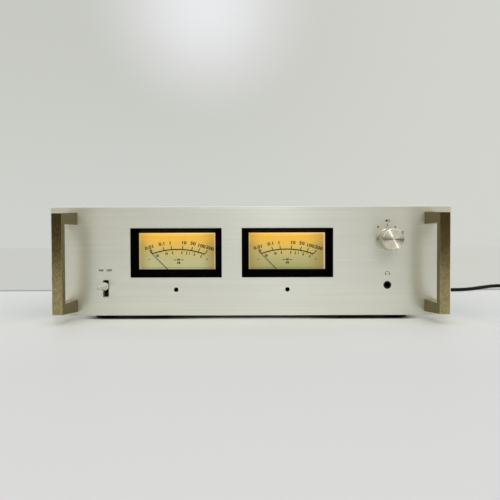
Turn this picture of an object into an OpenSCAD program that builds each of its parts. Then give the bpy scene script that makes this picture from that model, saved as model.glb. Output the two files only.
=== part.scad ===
// Stereo power amplifier with two lit level meters and bar handles on a rack-width front.
// Millimetres, +Z up, front towards -Y. The origin is on the surface the feet stand on, at the
// middle of the amplifier's width and depth. "Depth" below is counted back from the panel's front
// face, and "height" up from the panel's lower edge.

/* [Front panel] */
// Width of the front panel
panel_w = 482; // [470:1:500]
// Height of the front panel
panel_h = 131.5; // [128:0.5:140]
// Thickness of the front panel
panel_t = 5; // [4:0.5:7]
// Bevel along the panel's front edges
panel_bevel = 0.6; // [0.3:0.1:1]

/* [Handles] */
// Distance of each handle's centre line from the panel's end
handle_inset = 26; // [16:0.5:27]
// Width of the handle bar
handle_w = 12; // [9:0.5:14]
// How far the handles stand out of the panel
handle_reach = 46; // [38:1:60]
// Height of the handle's lower end above the panel's lower edge
handle_z = 4.8; // [3:0.1:8]
// How far the handle's upper end lies below the panel's upper edge
handle_top = 6.9; // [5:0.1:12]
// Height of each handle post
handle_post = 14.8; // [12:0.1:18]
// Thickness of the grip bar, front to back
handle_bar = 8; // [6:0.5:12]
// How much the top and bottom draw in towards the front
handle_taper = 3.5; // [1:0.5:6]
// Rounding of the grip bar's front edges
handle_round = 1.2; // [0.5:0.1:3]

/* [Meters] */
// Left meter's distance from the middle, as a share of the panel's width
meter_left = 0.187; // [0.18:0.001:0.195]
// Right meter's distance from the middle, as a share of the panel's width
meter_right = 0.0917; // [0.085:0.0001:0.1]
// Height of the bezel's centre
meter_z = 75.8; // [74:0.1:77]
// Width of the bezel
bezel_w = 109.8; // [107:0.1:112]
// Height of the bezel
bezel_h = 59.2; // [57:0.1:61]
// Width of the bezel's front rim
bezel_rim = 1.6; // [1:0.1:3]
// Width of the window opening
window_w = 93.2; // [88:0.1:95]
// Height of the window opening
window_h = 44.5; // [40:0.1:46]
// How far the window's centre lies above the bezel's centre
window_rise = 2; // [0.5:0.1:3]
// Depth of the window behind the panel's front
window_depth = 9.4; // [9:0.1:10]
// Thickness of the window
window_t = 1.5; // [1:0.1:1.8]
// Height of the pointer's pivot
pivot_z = 43; // [41:0.5:45]
// Length of the pointer from pivot to tip
pointer_l = 48; // [40:0.5:52]
// Angle of the resting pointer from vertical
pointer_rest = -45; // [-50:1:-40]
// Diameter of the zero adjuster
adjuster_d = 5.1; // [4:0.1:6]
// Height of the zero adjuster
adjuster_z = 31.4; // [30:0.1:32]

/* [Selector knob] */
// Distance of the knob from the panel's right end
knob_inset = 76.5; // [70:0.5:85]
// Height of the knob's centre
knob_z = 91.3; // [88:0.1:95]
// Diameter of the knob's body
knob_d = 25.4; // [20:0.1:30]
// Diameter of the knob's base flange
knob_flange_d = 27.4; // [24:0.1:34]
// Length of the knob
knob_l = 25.3; // [18:0.1:30]
// Diameter of the selector shaft
shaft_d = 6; // [5:0.5:7]

/* [Power switch] */
// Distance of the lever from the panel's left end
switch_inset = 66; // [60:0.5:72]
// Height of the slot's centre
switch_z = 33; // [30:0.5:40]
// Width of the slot
slot_w = 6.9; // [6:0.1:8]
// Height of the slot
slot_h = 20.3; // [18:0.1:22]
// Reach of the lever in front of the panel
lever_reach = 27; // [20:0.5:32]
// Diameter of the lever's thick end
lever_d = 9.8; // [8:0.1:10.5]
// Diameter of the lever's tip
lever_tip_d = 5.6; // [4:0.1:7]

/* [Phones socket] */
// Height of the socket's centre
socket_z = 36.5; // [30:0.5:45]
// Diameter of the socket's bush
socket_d = 9.3; // [9:0.1:11]
// Bore for a 6.35 mm plug
socket_bore = 6.4; // [6.4:0.05:6.6]

/* [Case] */
// Depth from the panel's front to the rear panel's outer face
body_depth = 320; // [300:1:380]
// How far the cover's sides lie in from the panel's ends
cover_inset = 36; // [35:0.5:42]
// Thickness of the top cover
cover_t = 1; // [0.8:0.1:1.5]
// How far the cover lies below the panel's upper edge
cover_drop = 3; // [2:0.5:6]
// Thickness of the chassis sheet
sheet_t = 1.6; // [1.2:0.1:2]
// How far the panel hangs below the chassis
panel_drop = 8; // [4:0.5:9]
// Height of the feet
foot_h = 12; // [10:1:20]
// Diameter of the feet
foot_d = 30; // [24:1:40]
// Distance of the feet's centres from the cover's sides
foot_inset = 25; // [21:0.5:50]
// Depth of the front feet
foot_front = 21; // [21:1:60]
// Distance of the rear feet from the rear panel
foot_back = 30; // [25:1:80]

/* [Inside] */
// Height of the heat sinks
sink_h = 96; // [80:1:104]
// Length of the heat sinks
sink_l = 190; // [150:1:200]
// Number of fins on each heat sink
sink_fins = 20; // [12:1:24]
// Width of the transformer's core
core_w = 108; // [90:1:114]
// Height of the transformer's core
core_h = 90; // [80:1:96]
// Stack of the transformer's core
core_t = 52; // [40:1:56]
// Diameter of the filter capacitors
can_d = 63; // [50:1:66]
// Height of the filter capacitors
can_h = 92; // [70:1:98]

/* [Rear] */
// How far the rear fittings stand out of the rear panel
rear_reach = 14; // [12:0.5:20]
// Outer diameter of an input jack
jack_d = 8.3; // [8.2:0.1:8.6]
// Length of an input jack's sleeve
jack_l = 9; // [8:0.5:10]
// Distance between terminal screws
terminal_pitch = 16; // [14:0.5:18]

/* [Mains lead] */
// Diameter of the lead
cord_d = 6; // [5:0.1:6]
// Length of the tapered strain relief
gland_l = 30; // [25:1:30]

/* [Hidden] */
$fn = 48;
// Clearances
fit_gap = 0.2;
run_gap = 0.05;
thread_gap = 0.1;
// Frame of the whole amplifier
total_depth = handle_reach + body_depth + rear_reach;
panel_y = handle_reach - total_depth / 2;
panel_z = foot_h - panel_drop;
rear_y = panel_y + body_depth;
cover_top = panel_z + panel_h - cover_drop;
roof_z = cover_top - cover_t;
floor_z = foot_h + sheet_t;
cover_w = panel_w - 2 * cover_inset;
frame_w = cover_w - 2 * cover_t;
sub_back = panel_t + sheet_t;
rear_in = body_depth - sheet_t;
side_x = frame_w / 2 - sheet_t;
// Screws: shank, head width and head height
m4 = [4, 7.4, 2.6];
m5 = [5, 9, 3.2];
handle_x = panel_w / 2 - handle_inset;
handle_h = panel_h - handle_z - handle_top;
handle_screw_depth = 12;
handle_screw_z = [handle_z + handle_post / 2, handle_z + handle_h - handle_post / 2];
meter_left_x = -meter_left * panel_w;
meter_right_x = meter_right * panel_w;
panel_screw_depth = panel_t - 1.5;
panel_screw_x = [-(side_x - 8), (meter_left_x + meter_right_x) / 2, side_x - 8];
panel_screw_z = [18, panel_h - 16];
// Meter: case, dial, movement and pointer
flange_lip = 2.5;
bezel_tube_wall = 3.4;
case_wall = 2;
case_w = bezel_w + 4.2;
case_low = adjuster_z - 7.4;
case_top = meter_z + bezel_h / 2 + flange_lip + 1.2;
case_back = 38;
dial_depth = 14;
dial_t = 1;
dial_rim = 1.9;
dial_foot = 3;
pointer_depth = window_depth + window_t + 1.2;
pointer_t = 0.5;
tail_l = 7;
staff_d = 1.2;
bridge_depth = dial_depth + dial_t + 0.8;
bridge_t = 1.2;
coil_wire = 1.2;
coil_r = 8.9;
coil_band = 3;
coil_front = bridge_depth + bridge_t + 1.2;
yoke_front = coil_front + coil_wire + 0.8;
yoke_t = 7.8;
coil_back = yoke_front + yoke_t + 0.8 + coil_wire;
rear_bridge = coil_back + 1;
core_r = 6.6;
yoke_bore_r = 9.6;
yoke_r = 15;
post_r = (yoke_r + yoke_bore_r) / 2;
lamp_d = 6;
lamp_l = 30;
lamp_depth = 24;
lamp_z = case_top - case_wall - 5;
// Selector
knob_x = panel_w / 2 - knob_inset;
knob_gap = 0.8;
bush_d = 9;
nut_af = 12;
nut_t = 2.4;
knob_hole = 16;
rotor_d = 22;
rotor_depth = 15;
// Power lever
switch_x = switch_inset - panel_w / 2;
lever_rise = 3;
lever_pivot = 16;
lever_base = 5;
neck_d = 4;
hub_d = 8;
trunnion_d = 3;
lever_z = switch_z + lever_rise;
// Feet, cover and heat sinks
frame_lip = 12;
cover_screw_y = [30, body_depth / 2, body_depth - 30];
cover_screw_z = 22;
rear_screw_x = [-(side_x - frame_lip / 2), side_x - frame_lip / 2];
rear_screw_z = [16, panel_h - cover_drop - 16];
foot_x = cover_w / 2 - foot_inset;
foot_side = [-foot_x, foot_x];
foot_y = [foot_front, body_depth - foot_back];
vent_w = 4;
vent_pitch = 9;
vent_l = 62;
sink_slab = 8;
sink_gap = 8.4;
sink_y = 66;
fin_l = 36;
fin_root = 3.2;
fin_tip = 1.8;
sink_x = side_x - sink_gap - fin_l - sink_slab;
side_window_gap = 12;
side_window_l = (sink_l - side_window_gap) / 2 - 5;
side_window_h = (roof_z - floor_z) / 2;
// Transistor cans on the heat sinks
transistor_d = 20;
transistor_h = 8;
transistor_base = 1.8;
// Driver boards with their capacitors and resistors
board_gap = 20;
board_t = 1.6;
board_h = 84;
board_low = 6;
board_edge = 5;
spacer_d = 6;
small_can_d = 13;
small_can_l = 22;
resistor = [9, 10, 26];
// Transformer and capacitors
core_y = 66;
core_leg = 36;
core_yoke = 18;
core_rise = 3;
core_bolt = 8;
coil_over = 15;
coil_round = 8;
bracket_t = 2;
bracket_foot = 12;
can_x = 40;
clamp_h = 16;
clamp_t = 1.5;
clamp_ear = 12;
clamp_ear_w = 14;
can_y = core_y + core_t + coil_over + clamp_ear + can_d / 2 + 16;
// Supply board behind the capacitors, with rectifier and relay
supply_w = 196;
supply_l = 46;
supply_rise = 14;
supply_y = [can_y + can_d / 2 + clamp_ear + 4, can_y + can_d / 2 + clamp_ear + 4 + supply_l];
supply_z = floor_z + supply_rise;
rectifier_x = 32 - supply_w / 2;
rectifier = [28, 28, 10];
relay_x = supply_w / 2 - 38;
relay = [32, 30, 34];
// Rear fittings
input_inset = 52.4;
input_x = input_inset - side_x;
input_z = [58, 84];
strip_x = [-62, 62];
strip_z = 72;
strip_ways = 4;
strip_h = 24;
strip_t = 9;
barrier_t = 2.4;
gland_inset = 42.4;
gland_x = side_x - gland_inset;
gland_z = 30;
gland_d = 14;

// Places: x across, depth behind the panel's front, height above the panel's lower edge
module at(x, depth, height) translate([x, panel_y + depth, panel_z + height]) children();

// Shapes that start at the given place and run back, away from the front
module rod(d, l) rotate([-90, 0, 0]) cylinder(d = d, h = l);
module ring(d, bore, l) difference() {
    rod(d, l);
    translate([0, -1, 0]) rod(bore, l + 2);
}
module block(w, l, h) translate([-w / 2, 0, -h / 2]) cube([w, l, h]);
module bar(x0, x1, d0, d1, z0, z1) translate([x0, panel_y + d0, z0]) cube([x1 - x0, d1 - d0, z1 - z0]);

// A pan-head screw whose shank runs towards the front and whose head lies behind the origin
module screw(size, l) {
    translate([0, -l, 0]) rod(size[0] - thread_gap, l + 0.5);
    difference() {
        rod(size[1], size[2]);
        for (turn = [0, 90])
            rotate([0, turn, 0])
                translate([-size[1] * 0.3, size[2] - 1, -0.4])
                    cube([size[1] * 0.6, 2, 0.8]);
    }
}

// A row of round-ended slots along X, as a flat shape
module slots(count, pitch, w, l) {
    for (i = [0 : count - 1])
        translate([(i - (count - 1) / 2) * pitch, 0]) {
            square([w, l - w], center = true);
            for (s = [-1, 1])
                translate([0, s * (l - w) / 2])
                    circle(d = w, $fn = 24);
        }
}

// Front panel and what fastens to it
module panel_bevels() {
    side = panel_bevel * sqrt(2);
    for (z = [0, panel_h])
        at(0, 0, z)
            rotate([45, 0, 0])
                cube([panel_w + 2, side, side], center = true);
    for (x = [-panel_w / 2, panel_w / 2])
        at(x, 0, panel_h / 2)
            rotate([0, 0, 45])
                cube([side, side, panel_h + 2], center = true);
}

module front_panel() color("#c8cabd") difference() {
    at(0, 0, panel_h / 2) block(panel_w, panel_t, panel_h);
    panel_bevels();
    for (x = [meter_left_x, meter_right_x]) {
        at(x, -1, meter_z) block(bezel_w + 2 * fit_gap, panel_t + 2, bezel_h + 2 * fit_gap);
        at(x, -1, meter_z) block(bezel_w + 1.6, 1.4, bezel_h + 1.6);
        at(x, -1, adjuster_z) rod(adjuster_d + 2 * fit_gap, panel_t + 2);
    }
    at(knob_x, -1, knob_z) rod(knob_hole, panel_t + 2);
    at(knob_x, -1, socket_z) rod(socket_d + 2 * thread_gap, panel_t + 2);
    at(switch_x, -1, switch_z) block(slot_w, panel_t + 2, slot_h);
    for (x = [-handle_x, handle_x])
        for (z = handle_screw_z)
            at(x, -1, z) rod(m5[0] + 2 * fit_gap, panel_t + 2);
    for (x = panel_screw_x)
        for (z = panel_screw_z)
            at(x, panel_t - panel_screw_depth, z) rod(m4[0] + thread_gap, panel_screw_depth + 1);
}

// Side view of a handle, front to the left: x is the reach, y the height
module handle_profile() difference() {
    polygon([
        [0, 0], [0, handle_h],
        [-handle_reach, handle_h - handle_taper], [-handle_reach, handle_taper]
    ]);
    translate([-(handle_reach - handle_bar), handle_post])
        square([handle_reach, handle_h - 2 * handle_post]);
}

// Plan of a handle: the front edges are rounded
module handle_plan() union() {
    translate([-handle_w / 2, -(handle_reach - handle_round)])
        square([handle_w, handle_reach]);
    translate([-(handle_w / 2 - handle_round), -handle_reach])
        square([handle_w - 2 * handle_round, handle_reach]);
    for (s = [-1, 1])
        translate([s * (handle_w / 2 - handle_round), -(handle_reach - handle_round)])
            circle(r = handle_round);
}

module handle(x) color("#756f4c") difference() {
    intersection() {
        at(x - handle_w / 2, 0, handle_z)
            rotate([90, 0, 90]) linear_extrude(handle_w) handle_profile();
        at(x, 0, handle_z - 1) linear_extrude(handle_h + 2) handle_plan();
    }
    for (z = handle_screw_z)
        at(x, -handle_screw_depth - 1, z) rod(m5[0] + thread_gap, handle_screw_depth + 2);
    at(x, 0, handle_z - 1) translate([-handle_w, 0, 0]) cube([2 * handle_w, handle_reach, handle_h + 2]);
}

module handle_screws() color("silver")
    for (x = [-handle_x, handle_x])
        for (z = handle_screw_z)
            at(x, panel_t, z) screw(m5, panel_t + handle_screw_depth);

module front_subpanel() color("#a9a9a4") difference() {
    bar(-frame_w / 2, frame_w / 2, panel_t, sub_back, floor_z, roof_z);
    for (x = [meter_left_x, meter_right_x]) {
        at(x, panel_t - 1, meter_z)
            block(bezel_w + 2 * (flange_lip + fit_gap), sheet_t + 2, bezel_h + 2 * (flange_lip + fit_gap));
        at(x, panel_t - 1, adjuster_z) rod(adjuster_d + 2 * fit_gap, sheet_t + 2);
    }
    at(knob_x, panel_t - 1, knob_z) rod(bush_d + 2 * thread_gap, sheet_t + 2);
    at(knob_x, panel_t - 1, socket_z) rod(socket_d + 2 * thread_gap, sheet_t + 2);
    at(switch_x, panel_t - 1, switch_z) block(slot_w + 2, sheet_t + 2, slot_h + 3);
    for (x = panel_screw_x)
        for (z = panel_screw_z)
            at(x, panel_t - 1, z) rod(m4[0] + thread_gap, sheet_t + 2);
}

module panel_screws() color("silver")
    for (x = panel_screw_x)
        for (z = panel_screw_z)
            at(x, sub_back, z) screw(m4, sheet_t + panel_screw_depth - 0.5);

// Level meters
// The funnel of the bezel narrows from its front rim to the window on all four sides
module bezel_funnel() {
    mouth_w = bezel_w / 2 - bezel_rim;
    mouth_h = bezel_h / 2 - bezel_rim;
    low = window_rise - window_h / 2;
    high = window_rise + window_h / 2;
    intersection() {
        translate([0, 0, -bezel_h])
            linear_extrude(2 * bezel_h)
                polygon([
                    [-mouth_w, 0], [mouth_w, 0],
                    [window_w / 2, window_depth], [-window_w / 2, window_depth]
                ]);
        translate([-bezel_w, 0, 0])
            rotate([90, 0, 90])
                linear_extrude(2 * bezel_w)
                    polygon([[0, -mouth_h], [0, mouth_h], [window_depth, high], [window_depth, low]]);
    }
}

module meter_bezel(x) color("#141414") difference() {
    union() {
        at(x, 0, meter_z) block(bezel_w, panel_t, bezel_h);
        at(x, panel_t, meter_z) block(bezel_w + 2 * flange_lip, sheet_t, bezel_h + 2 * flange_lip);
        at(x, sub_back, meter_z + window_rise)
            block(window_w + 2 * bezel_tube_wall, window_depth - sub_back, window_h + 2 * bezel_tube_wall);
    }
    at(x, 0, meter_z) bezel_funnel();
}

module meter_window(x) color("white", 0.35)
    at(x, window_depth, meter_z + window_rise)
        block(window_w + 2 * bezel_tube_wall, window_t, window_h + 2 * bezel_tube_wall);

dial_low = meter_z + window_rise - window_h / 2 - dial_foot;
dial_high = meter_z + window_rise + window_h / 2 + dial_foot;
dial_w = window_w + 2 * bezel_tube_wall + 6;
pillar_x = dial_w / 2 - 2.6;

module meter_case(x) color("#1c1c1c") {
    inner_w = case_w - 2 * case_wall;
    difference() {
        at(x, sub_back, (case_low + case_top) / 2)
            block(case_w, case_back - sub_back, case_top - case_low);
        at(x, sub_back + case_wall, (case_low + case_top) / 2)
            block(inner_w, case_back - sub_back - 2 * case_wall, case_top - case_low - 2 * case_wall);
        at(x, sub_back - 1, meter_z + window_rise)
            block(window_w + 2 * bezel_tube_wall + 2 * fit_gap, case_wall + 2,
                window_h + 2 * bezel_tube_wall + 2 * fit_gap);
        at(x, sub_back - 1, adjuster_z) rod(2.5 + 2 * run_gap, case_wall + 2);
    }
    for (s = [-1, 1]) {
        for (z = [dial_low + 4, dial_high - 4])
            at(x + s * pillar_x, dial_depth + dial_t, z)
                rod(4, case_back - case_wall - dial_depth - dial_t);
        at(x + s * (lamp_l / 2 - 3), lamp_depth - 3, lamp_z - lamp_d / 2 - 2.1)
            block(4, case_back - case_wall - lamp_depth + 3, 4);
    }
}

// The dial is a plate whose rim slopes forward at the top and the sides to frame the scale
module meter_dial(x) color("#e9c877") {
    rim_front = pointer_depth - 0.4;
    inner_w = window_w - 2 * dial_rim;
    inner_h = window_h - dial_rim;
    difference() {
        union() {
            at(x, dial_depth, (dial_low + dial_high) / 2) block(dial_w, dial_t, dial_high - dial_low);
            at(x, rim_front, (dial_low + dial_high) / 2)
                block(window_w + 4, dial_depth - rim_front, dial_high - dial_low);
        }
        at(x, rim_front, meter_z + window_rise - window_h / 2)
            intersection() {
                translate([0, 0, -bezel_h])
                    linear_extrude(2 * bezel_h)
                        polygon([
                            [-window_w / 2 - 0.5, -1], [window_w / 2 + 0.5, -1],
                            [inner_w / 2, dial_depth - rim_front], [-inner_w / 2, dial_depth - rim_front]
                        ]);
                translate([-bezel_w, 0, 0])
                    rotate([90, 0, 90])
                        linear_extrude(2 * bezel_w)
                            polygon([
                                [-1, -bezel_h], [-1, window_h + 0.5],
                                [dial_depth - rim_front, inner_h], [dial_depth - rim_front, -bezel_h]
                            ]);
            }
    }
}

// Pointer, moving coil and the two half staffs that carry them, drawn with the pointer upright
module pointer_upright() {
    rotate([90, 0, 0])
        translate([0, 0, -pointer_t])
            linear_extrude(pointer_t)
                polygon([
                    [-0.55, -tail_l], [0.55, -tail_l],
                    [0.28, pointer_l], [-0.28, pointer_l]
                ]);
    translate([0, 0, -tail_l]) rod(2.6, pointer_t);
    translate([0, -0.3, 0]) rod(4, 1.1);
    rod(staff_d, coil_front - pointer_depth + coil_wire / 2);
    translate([0, coil_front - pointer_depth, 0])
        difference() {
            block(2 * coil_r, coil_back - coil_front, coil_band);
            translate([0, coil_wire, 0])
                block(2 * (coil_r - coil_wire), coil_back - coil_front - 2 * coil_wire, coil_band + 1);
        }
    translate([0, coil_back - pointer_depth - coil_wire / 2, 0])
        rod(staff_d, rear_bridge + bridge_t - 0.2 - coil_back + coil_wire / 2);
}

module meter_pointer(x) color("#2b1d12")
    at(x, pointer_depth, pivot_z) rotate([0, pointer_rest, 0]) pointer_upright();

// Magnet ring and core, joined above and below the coil's sweep, with a bridge at each end
module meter_movement(x) color("#8d8d88") at(x, 0, pivot_z) {
    translate([0, yoke_front + yoke_t, 0])
        rotate([90, 0, 0])
            linear_extrude(yoke_t) {
                difference() {
                    circle(r = yoke_r);
                    circle(r = yoke_bore_r);
                }
                circle(r = core_r);
                square([4, 2 * post_r], center = true);
            }
    for (d = [bridge_depth, rear_bridge])
        translate([0, d, 0])
            difference() {
                block(6, bridge_t, 2 * yoke_r);
                translate([0, -1, 0]) rod(staff_d + 2 * run_gap, bridge_t + 2);
            }
    for (s = [-1, 1])
        translate([0, bridge_depth + bridge_t, s * post_r]) {
            rod(3.6, yoke_front - bridge_depth - bridge_t);
            translate([0, yoke_front + yoke_t - bridge_depth - bridge_t, 0])
                rod(3.6, rear_bridge - yoke_front - yoke_t);
            translate([0, rear_bridge - bridge_depth, 0])
                rod(5, case_back - case_wall - rear_bridge - bridge_t);
        }
}

module zero_adjuster(x) color("#101010") at(x, 0, adjuster_z) {
    difference() {
        translate([0, 0.3, 0]) rod(adjuster_d, 3);
        translate([0, 0.8, 0]) cube([adjuster_d + 1, 1.6, 0.9], center = true);
    }
    rod_start = 3.2;
    translate([0, rod_start, 0]) rod(2.5, sub_back + case_wall + 0.8 - rod_start);
    translate([0.7, sub_back + case_wall + 0.6, 0]) rod(1, 1.2);
}

module dial_lamps() for (x = [meter_left_x, meter_right_x])
    at(x, lamp_depth, lamp_z)
        rotate([0, 90, 0]) {
            color("#fff2c8") cylinder(d = lamp_d - 0.8, h = lamp_l, center = true);
            color("silver")
                for (s = [-1, 1])
                    translate([0, 0, s * (lamp_l / 2 - 3)])
                        cylinder(d = lamp_d, h = 6, center = true);
        }

// Speaker selector
module selector_knob() color("#cfcdc2") at(knob_x, -knob_gap - knob_l, knob_z) {
    face_r = knob_d / 2;
    flange_r = knob_flange_d / 2;
    difference() {
        rotate([-90, 0, 0])
            rotate_extrude($fn = 96)
                polygon([
                    [0, 0.5], [face_r - 2.2, 0.15], [face_r - 1.2, 0], [face_r, 1.1],
                    [face_r, knob_l - 8.4], [face_r - 0.9, knob_l - 8.4],
                    [face_r - 0.9, knob_l - 6.9], [face_r + 0.3, knob_l - 6.9],
                    [face_r + 0.3, knob_l - 5], [face_r - 0.7, knob_l - 5],
                    [face_r - 0.7, knob_l - 4], [flange_r - 0.5, knob_l - 4],
                    [flange_r, knob_l - 3.5], [flange_r, knob_l], [0, knob_l]
                ]);
        translate([0, 4, 0]) rod(shaft_d + 2 * run_gap, knob_l);
    }
}

module selector_shaft() color("silver") at(knob_x, 0, knob_z) {
    shaft_front = -knob_gap - knob_l + 5;
    translate([0, shaft_front, 0]) rod(shaft_d, rotor_depth + 6 - shaft_front);
    translate([0, rotor_depth, 0]) rod(rotor_d, 3);
    for (turn = [0 : 30 : 90])
        rotate([0, turn, 0])
            translate([rotor_d / 2 - 3, rotor_depth + 2.5, 0])
                rod(2, 1.5);
}

module selector_switch() color("#6f6a5a") difference() {
    union() {
        at(knob_x, 1.2, knob_z) rod(bush_d, sub_back - 1);
        at(knob_x, sub_back, knob_z) rod(34, 5);
        at(knob_x, sub_back + 5, knob_z) rod(30, 17);
    }
    at(knob_x, 0, knob_z) rod(shaft_d + 2 * run_gap, rotor_depth);
    at(knob_x, rotor_depth - 1, knob_z) rod(rotor_d + 2, 9.5);
}

module selector_nut() color("silver")
    at(knob_x, panel_t - nut_t, knob_z)
        difference() {
            rotate([-90, 0, 0]) cylinder(d = nut_af / cos(30), h = nut_t, $fn = 6);
            translate([0, -1, 0]) rod(bush_d + 2 * thread_gap, nut_t + 2);
        }

// Power switch: the lever turns on its trunnions between the cheeks of the switch body
module power_lever() color("#d8d8d4") at(switch_x, lever_pivot, lever_z) {
    base = -lever_pivot - lever_base;
    rotate([90, 0, 0]) {
        cylinder(d = neck_d, h = -base + 0.5);
        translate([0, 0, -base])
            rotate_extrude()
                polygon([
                    [0, 0], [lever_d / 2 - 0.8, 0], [lever_d / 2, 0.8], [lever_d / 2, 1.6],
                    [lever_d / 2 - 0.8, 2.4], [lever_tip_d / 2, lever_reach - lever_base - 2],
                    [lever_tip_d / 2 - 0.6, lever_reach - lever_base - 0.6],
                    [lever_tip_d / 2 - 1.5, lever_reach - lever_base], [0, lever_reach - lever_base]
                ]);
    }
    rotate([0, 90, 0]) {
        cylinder(d = hub_d, h = 7, center = true);
        cylinder(d = trunnion_d, h = 14, center = true);
    }
    rod(3, 8);
}

module power_switch() color("#1a1a1c") difference() {
    at(switch_x, sub_back, switch_z) block(15, 30, 34);
    at(switch_x, sub_back - 1, lever_z - 0.8) block(8.4, lever_pivot + 11 - sub_back, 15.4);
    at(switch_x, lever_pivot, lever_z)
        rotate([0, 90, 0]) cylinder(d = trunnion_d + 2 * run_gap, h = 20, center = true);
}

module phones_socket() color("#151515") difference() {
    union() {
        at(knob_x, 0, socket_z) rod(socket_d, sub_back + 1);
        at(knob_x, sub_back, socket_z - 1) block(17, 28, 22);
    }
    at(knob_x, -1, socket_z) rod(socket_bore, 33);
}

// Sheet metal
module vents(count, l) slots(count, vent_pitch, vent_w, l);

// Openings over and under the heat sinks
module sink_vents(l) for (s = [-1, 1])
    translate([s * (sink_x + sink_slab + fin_l / 2), panel_y + sink_y + sink_l / 2])
        rotate(90) vents(floor(sink_l / vent_pitch), l);

module chassis_base() color("#b4b4ae")
    translate([0, 0, foot_h])
        linear_extrude(sheet_t)
            difference() {
                translate([-frame_w / 2, panel_y + panel_t]) square([frame_w, body_depth - panel_t]);
                sink_vents(fin_l - 6);
                for (x = foot_side)
                    for (y = foot_y)
                        translate([x, panel_y + y]) circle(d = m4[0] + thread_gap);
            }

module side_frame(s) color("#b4b4ae") {
    difference() {
        bar(s * (side_x + sheet_t / 2) - sheet_t / 2, s * (side_x + sheet_t / 2) + sheet_t / 2,
            sub_back, rear_in, floor_z, roof_z);
        for (i = [0 : 1])
            at(s * side_x, sink_y + 5 + i * (side_window_l + side_window_gap), 0)
                translate([0, 0, (floor_z + roof_z) / 2 - panel_z])
                    block(10, side_window_l, side_window_h);
        for (d = cover_screw_y)
            at(s * side_x, d, cover_screw_z)
                rotate([0, 90, 0]) cylinder(d = m4[0] + thread_gap, h = 20, center = true);
    }
    for (z = [floor_z, roof_z - sheet_t])
        bar(s > 0 ? side_x - frame_lip : -side_x, s > 0 ? side_x : frame_lip - side_x,
            sub_back, sink_y - 10, z, z + sheet_t);
    difference() {
        bar(s > 0 ? side_x - frame_lip : -side_x, s > 0 ? side_x : frame_lip - side_x,
            rear_in - sheet_t, rear_in, floor_z, roof_z);
        rear_screw_holes();
    }
}

// Holes through the rear panel and the lips of the side frames
module rear_screw_holes()
    for (x = rear_screw_x)
        for (z = rear_screw_z)
            at(x, rear_in - sheet_t - 1, z) rod(m4[0] + thread_gap, 2 * sheet_t + 2);

module top_cover() color("#3a3b3c") {
    difference() {
        union() {
            translate([0, 0, roof_z])
                linear_extrude(cover_t)
                    difference() {
                        translate([-cover_w / 2, panel_y + panel_t]) square([cover_w, body_depth - panel_t]);
                        sink_vents(fin_l + 4);
                        translate([0, panel_y + core_y + 30]) vents(13, vent_l);
                        translate([0, panel_y + can_y + 10]) vents(13, vent_l);
                    }
            for (x = [-cover_w / 2, cover_w / 2 - cover_t])
                bar(x, x + cover_t, panel_t, body_depth, foot_h, roof_z);
        }
        for (d = cover_screw_y)
            at(0, d, cover_screw_z)
                rotate([0, 90, 0]) cylinder(d = m4[0] + thread_gap, h = cover_w + 2, center = true);
    }
}

module case_screws() color("#2a2a2a") {
    for (s = [-1, 1])
        for (d = cover_screw_y)
            at(s * cover_w / 2, d, cover_screw_z) rotate([0, 0, -90 * s]) screw(m4, cover_t + sheet_t + 3);
    for (x = rear_screw_x)
        for (z = rear_screw_z)
            at(x, body_depth, z) screw(m4, 2 * sheet_t + 3);
}

module rear_panel() color("#b4b4ae") difference() {
    bar(-frame_w / 2, frame_w / 2, rear_in, body_depth, floor_z, roof_z);
    for (z = input_z)
        at(input_x, rear_in - 1, z) rod(jack_d + 2 * fit_gap, sheet_t + 2);
    for (x = strip_x)
        at(x, rear_in - 1, strip_z) block(strip_ways * terminal_pitch - 6, sheet_t + 2, strip_h - 10);
    translate([gland_x, rear_y - sheet_t - 1, gland_z]) rod(gland_d + 2 * fit_gap, sheet_t + 2);
    rear_screw_holes();
}

module feet() color("#1b1b1b")
    for (x = foot_side)
        for (y = foot_y)
            translate([x, panel_y + y, 0])
                difference() {
                    rotate_extrude()
                        polygon([
                            [0, 0], [foot_d / 2 - 3, 0], [foot_d / 2 - 1.6, 0.8],
                            [foot_d / 2, foot_h - 2], [foot_d / 2 - 0.6, foot_h], [0, foot_h]
                        ]);
                    translate([0, 0, -1]) cylinder(d = m4[1] + 3, h = foot_h - 3);
                    cylinder(d = m4[0] + thread_gap, h = foot_h + 1);
                }

module foot_screws() color("silver")
    for (x = foot_side)
        for (y = foot_y)
            translate([x, panel_y + y, foot_h - 4]) rotate([-90, 0, 0]) screw(m4, 4 + sheet_t + 2);

// Output stage
// Seen from above: a slab with a row of tapered fins, for extruding upwards
module heat_sink(s) color("#22252a")
    translate([s * sink_x, panel_y + sink_y, floor_z])
        mirror([s > 0 ? 0 : 1, 0, 0])
            linear_extrude(sink_h) {
                square([sink_slab, sink_l]);
                for (i = [0 : sink_fins - 1])
                    translate([sink_slab - 0.5, fin_root / 2 + i * (sink_l - fin_root) / (sink_fins - 1)])
                        polygon([
                            [0, -fin_root / 2], [fin_l, -fin_tip / 2], [fin_l, fin_tip / 2], [0, fin_root / 2]
                        ]);
            }

module power_transistor() {
    linear_extrude(transistor_base) {
        circle(d = 1.3 * transistor_d);
        polygon([
            [-16, 3.6], [-6, 11.5], [6, 11.5], [16, 3.6],
            [16, -3.6], [6, -11.5], [-6, -11.5], [-16, -3.6]
        ]);
        for (x = [-15, 15])
            translate([x, 0]) circle(d = 8.6);
    }
    cylinder(d = transistor_d, h = transistor_h);
}

transistor_y = [for (i = [0 : 3]) sink_y + sink_l * (i + 0.5) / 4];

module output_transistors() color("#b9b9b5")
    for (s = [-1, 1])
        for (d = transistor_y)
            translate([s * sink_x, panel_y + d, floor_z + sink_h / 2])
                rotate([0, -90 * s, 0]) power_transistor();

board_x = sink_x - board_gap;
board_y = [sink_y + 6, sink_y + sink_l - 6];

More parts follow.
